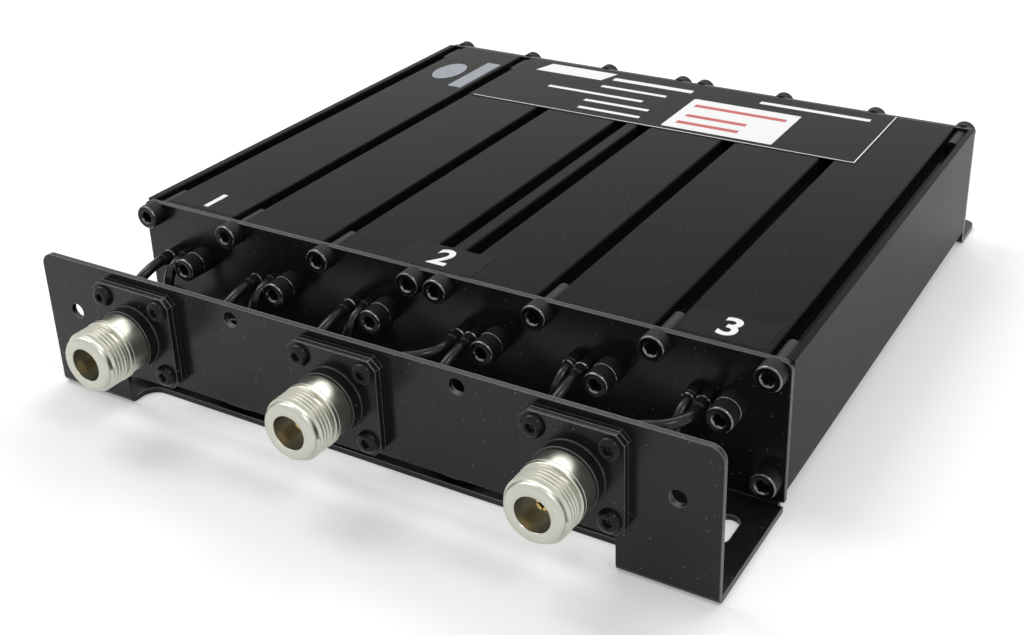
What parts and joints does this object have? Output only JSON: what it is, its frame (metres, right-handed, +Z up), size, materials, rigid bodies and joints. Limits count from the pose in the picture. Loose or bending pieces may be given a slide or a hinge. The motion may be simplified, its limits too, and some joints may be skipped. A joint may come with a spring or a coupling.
{
  "type": "cavity duplexer",
  "caption": "Flat black cavity duplexer: ribbed twin aluminium housing, folded front bracket with coaxial ports, cable harness and tuning screws.",
  "frame": {"origin": "bottom centre of the whole object's box, on the plane it stands on", "axes": "+X from the low port to the high port, +Y from the connector panel back to the rear foot, +Z up"},
  "size_m": [0.193, 0.231, 0.0398],
  "materials": {
    "black_coat": "semi-gloss black powder coat",
    "black_housing": "semi-gloss black anodised extrusion",
    "black_screw": "black oxide",
    "nickel": "bright nickel plate",
    "gold": "gold plate",
    "white_insulator": "white fluoropolymer",
    "silvered_brass": "silver-plated brass",
    "copper_wire": "silver-plated copper wire",
    "cable_jacket": "black cable jacket"
  },
  "bodies": {
    "housing": {"front_bracket": "black_coat", "rear_plate": "black_coat", "extrusion_low": "black_housing", "extrusion_high": "black_housing", "front_plate_screws": "black_screw", "rear_plate_screws": "black_screw", "flange_screws": "black_screw", "connector_shell_low": "nickel", "connector_flange_low": "black_coat", "connector_spacer_low": "black_coat", "connector_insulator_low": "white_insulator", "connector_contact_low": "gold", "connector_shell_antenna": "nickel", "connector_flange_antenna": "black_coat", "connector_spacer_antenna": "black_coat", "connector_insulator_antenna": "white_insulator", "connector_contact_antenna": "gold", "connector_shell_high": "nickel", "connector_flange_high": "black_coat", "connector_spacer_high": "black_coat", "connector_insulator_high": "white_insulator", "connector_contact_high": "gold", "resonator_1": "silvered_brass", "lock_sleeve_1": "black_screw", "coupling_loop_1": "copper_wire", "resonator_2": "silvered_brass", "lock_sleeve_2": "black_screw", "coupling_loop_2": "copper_wire", "resonator_3": "silvered_brass", "lock_sleeve_3": "black_screw", "coupling_loop_3": "copper_wire", "resonator_4": "silvered_brass", "lock_sleeve_4": "black_screw", "coupling_loop_4": "copper_wire", "resonator_5": "silvered_brass", "lock_sleeve_5": "black_screw", "coupling_loop_5": "copper_wire", "resonator_6": "silvered_brass", "lock_sleeve_6": "black_screw", "coupling_loop_6": "copper_wire", "cable_low": "cable_jacket", "cable_1_2": "cable_jacket", "cable_2_3": "cable_jacket", "cable_3_antenna": "cable_jacket", "cable_antenna_4": "cable_jacket", "cable_4_5": "cable_jacket", "cable_5_6": "cable_jacket", "cable_high": "cable_jacket"},
    "plunger_body_1": {"plunger_1": "silvered_brass"},
    "screw_body_1": {"tuning_screw_1": "black_screw"},
    "plunger_body_2": {"plunger_2": "silvered_brass"},
    "screw_body_2": {"tuning_screw_2": "black_screw"},
    "plunger_body_3": {"plunger_3": "silvered_brass"},
    "screw_body_3": {"tuning_screw_3": "black_screw"},
    "plunger_body_4": {"plunger_4": "silvered_brass"},
    "screw_body_4": {"tuning_screw_4": "black_screw"},
    "plunger_body_5": {"plunger_5": "silvered_brass"},
    "screw_body_5": {"tuning_screw_5": "black_screw"},
    "plunger_body_6": {"plunger_6": "silvered_brass"},
    "screw_body_6": {"tuning_screw_6": "black_screw"}
  },
  "joints": [
    {"name": "plunger_slide_1", "type": "slide", "parent": "housing", "child": "plunger_body_1", "axis": [0, -1, 0], "range_m": [-0.00035, 0.0042]},
    {"name": "screw_turn_1", "type": "hinge", "parent": "plunger_body_1", "child": "screw_body_1", "pos_m": [-0.0763, -0.0649, 0.0255], "axis": [0, -1, 0], "range_deg": [-181, 2161]},
    {"name": "plunger_slide_2", "type": "slide", "parent": "housing", "child": "plunger_body_2", "axis": [0, -1, 0], "range_m": [-0.00035, 0.0042]},
    {"name": "screw_turn_2", "type": "hinge", "parent": "plunger_body_2", "child": "screw_body_2", "pos_m": [-0.04485, -0.0649, 0.0255], "axis": [0, -1, 0], "range_deg": [-181, 2161]},
    {"name": "plunger_slide_3", "type": "slide", "parent": "housing", "child": "plunger_body_3", "axis": [0, -1, 0], "range_m": [-0.00035, 0.0042]},
    {"name": "screw_turn_3", "type": "hinge", "parent": "plunger_body_3", "child": "screw_body_3", "pos_m": [-0.0134, -0.0649, 0.0255], "axis": [0, -1, 0], "range_deg": [-181, 2161]},
    {"name": "plunger_slide_4", "type": "slide", "parent": "housing", "child": "plunger_body_4", "axis": [0, -1, 0], "range_m": [-0.00035, 0.0042]},
    {"name": "screw_turn_4", "type": "hinge", "parent": "plunger_body_4", "child": "screw_body_4", "pos_m": [0.0202, -0.0649, 0.0255], "axis": [0, -1, 0], "range_deg": [-181, 2161]},
    {"name": "plunger_slide_5", "type": "slide", "parent": "housing", "child": "plunger_body_5", "axis": [0, -1, 0], "range_m": [-0.00035, 0.0042]},
    {"name": "screw_turn_5", "type": "hinge", "parent": "plunger_body_5", "child": "screw_body_5", "pos_m": [0.05165, -0.0649, 0.0255], "axis": [0, -1, 0], "range_deg": [-181, 2161]},
    {"name": "plunger_slide_6", "type": "slide", "parent": "housing", "child": "plunger_body_6", "axis": [0, -1, 0], "range_m": [-0.00035, 0.0042]},
    {"name": "screw_turn_6", "type": "hinge", "parent": "plunger_body_6", "child": "screw_body_6", "pos_m": [0.0831, -0.0649, 0.0255], "axis": [0, -1, 0], "range_deg": [-181, 2161]}
  ],
  "couplings": [
    {"joint": "screw_turn_1", "follows": "plunger_slide_1", "rad_per_m": 8976},
    {"joint": "screw_turn_2", "follows": "plunger_slide_2", "rad_per_m": 8976},
    {"joint": "screw_turn_3", "follows": "plunger_slide_3", "rad_per_m": 8976},
    {"joint": "screw_turn_4", "follows": "plunger_slide_4", "rad_per_m": 8976},
    {"joint": "screw_turn_5", "follows": "plunger_slide_5", "rad_per_m": 8976},
    {"joint": "screw_turn_6", "follows": "plunger_slide_6", "rad_per_m": 8976}
  ]
}
